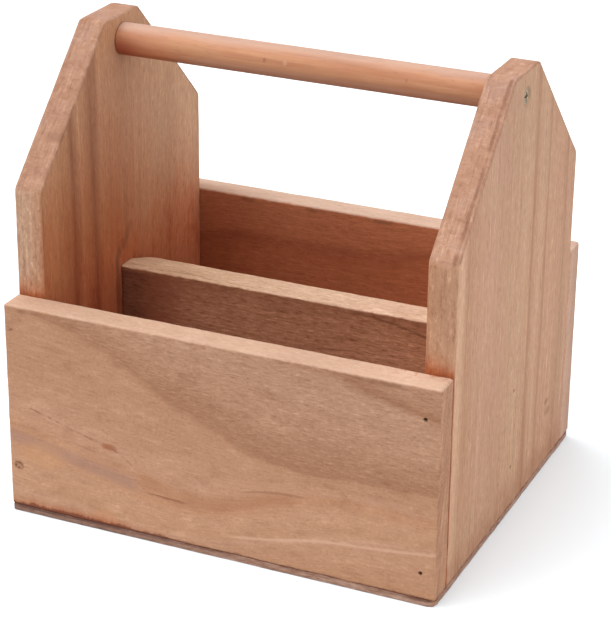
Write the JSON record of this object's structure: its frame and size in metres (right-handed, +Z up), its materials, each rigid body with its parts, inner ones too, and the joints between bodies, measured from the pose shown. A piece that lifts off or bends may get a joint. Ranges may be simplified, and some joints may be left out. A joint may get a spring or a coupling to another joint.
{
  "type": "tool caddy",
  "caption": "Open wooden carry caddy with gabled end panels, low front and back boards, a lengthwise divider and a round dowel handle, for keeping hand tools in reach.",
  "frame": {"origin": "middle of the box on the underside of the bottom panel", "axes": "+X along the front board to the right, +Y from the front board to the back board, +Z up"},
  "size_m": [0.25, 0.218, 0.257],
  "materials": {
    "board_wood": "bare, lightly sanded hardwood",
    "end_wood": "bare, lightly sanded hardwood",
    "divider_wood": "bare, lightly sanded hardwood",
    "dowel_wood": "smooth turned hardwood",
    "bottom_ply": "bare plywood",
    "screw_steel": "dull plated steel",
    "nail_steel": "dark steel wire"
  },
  "bodies": {
    "box": {"bottom_panel": "bottom_ply", "left_end_panel": "end_wood", "right_end_panel": "end_wood", "front_board": "board_wood", "back_board": "board_wood", "divider": "divider_wood", "front_left_nails": "nail_steel", "front_right_nails": "nail_steel", "back_left_nails": "nail_steel", "back_right_nails": "nail_steel", "divider_left_nails": "nail_steel", "divider_right_nails": "nail_steel", "bottom_front_nails": "nail_steel", "bottom_back_nails": "nail_steel", "bottom_left_nails": "nail_steel", "bottom_right_nails": "nail_steel", "bottom_divider_nails": "nail_steel"},
    "handle": {"handle_dowel": "dowel_wood", "left_handle_screw": "screw_steel", "right_handle_screw": "screw_steel"}
  },
  "joints": [
    {"name": "handle_turn", "type": "hinge", "parent": "box", "child": "handle", "pos_m": [0, 0, 0.243], "axis": [1, 0, 0], "continuous": true}
  ]
}
